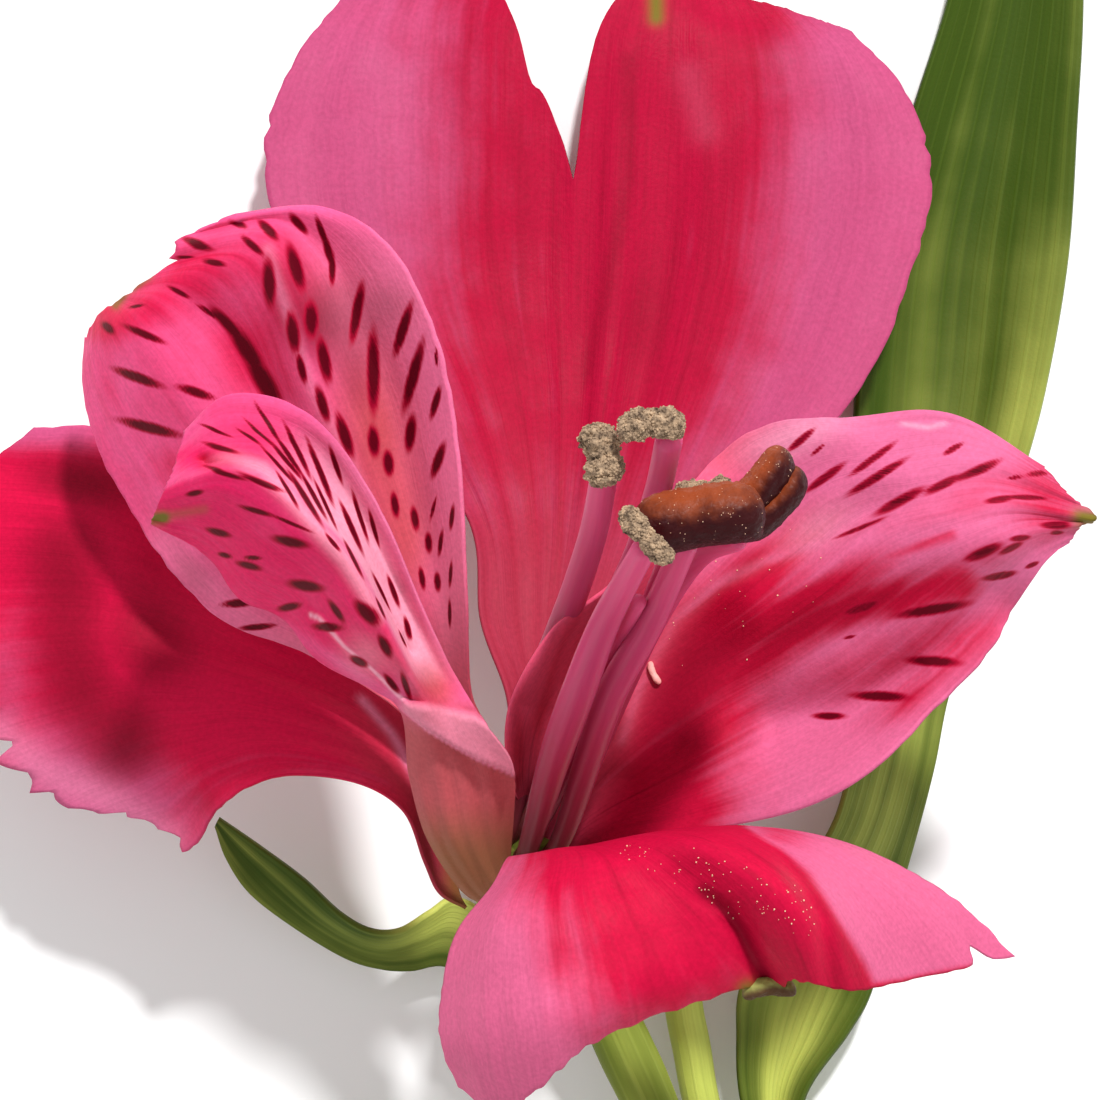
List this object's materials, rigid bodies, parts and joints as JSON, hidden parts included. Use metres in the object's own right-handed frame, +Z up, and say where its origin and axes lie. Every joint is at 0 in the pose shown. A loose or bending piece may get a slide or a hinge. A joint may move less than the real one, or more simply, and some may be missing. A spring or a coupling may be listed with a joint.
{
  "type": "alstroemeria stem",
  "caption": "Cut stem lying down, with an open bloom of flecked and plain tepals facing up, stamens, a closed bud, and narrow leaves along a slim green stalk.",
  "frame": {"origin": "centre of the bounding box seen from above, on the surface the stem lies on", "axes": "+Z up from the surface, with the open bloom facing it; +Y towards the bloom; -Y towards the cut end of the stem"},
  "size_m": [0.1169, 0.2478, 0.0492],
  "materials": {
    "outer_tepal": "satin petal, deep pink with a crimson middle and fine veins",
    "inner_tepal": "satin petal, pink with dark maroon flecks",
    "filament": "smooth mauve pink",
    "anther_ripe": "matt brown, smooth",
    "anther_shed": "matt grey-brown, granular with pollen",
    "stalk": "smooth, waxy, yellow-green",
    "leaf": "satin, mid green with parallel veins",
    "bud": "satin, pink with green tips"
  },
  "bodies": {
    "root": {"outer_tepal_top": "outer_tepal", "outer_tepal_left": "outer_tepal", "outer_tepal_bottom": "outer_tepal", "inner_tepal_upper_left": "inner_tepal", "inner_tepal_front_left": "inner_tepal", "inner_tepal_right": "inner_tepal", "filament_1": "filament", "filament_2": "filament", "filament_3": "filament", "filament_4": "filament", "filament_5": "filament", "filament_6": "filament", "style": "filament", "anther_1": "anther_shed", "anther_2": "anther_shed", "anther_3": "anther_shed", "anther_4": "anther_ripe", "anther_5": "anther_ripe", "anther_6": "anther_shed", "ovary": "stalk", "pedicel_bloom": "stalk", "pedicel_bud": "stalk", "bud_ovary": "stalk", "main_stem": "stalk", "bud": "bud", "bract_leaf_left": "leaf", "long_leaf_right": "leaf", "whorl_leaf_1": "leaf", "whorl_leaf_2": "leaf", "whorl_leaf_3": "leaf", "whorl_leaf_4": "leaf", "stem_leaf_1": "leaf", "stem_leaf_2": "leaf", "stem_leaf_3": "leaf"}
  },
  "joints": []
}
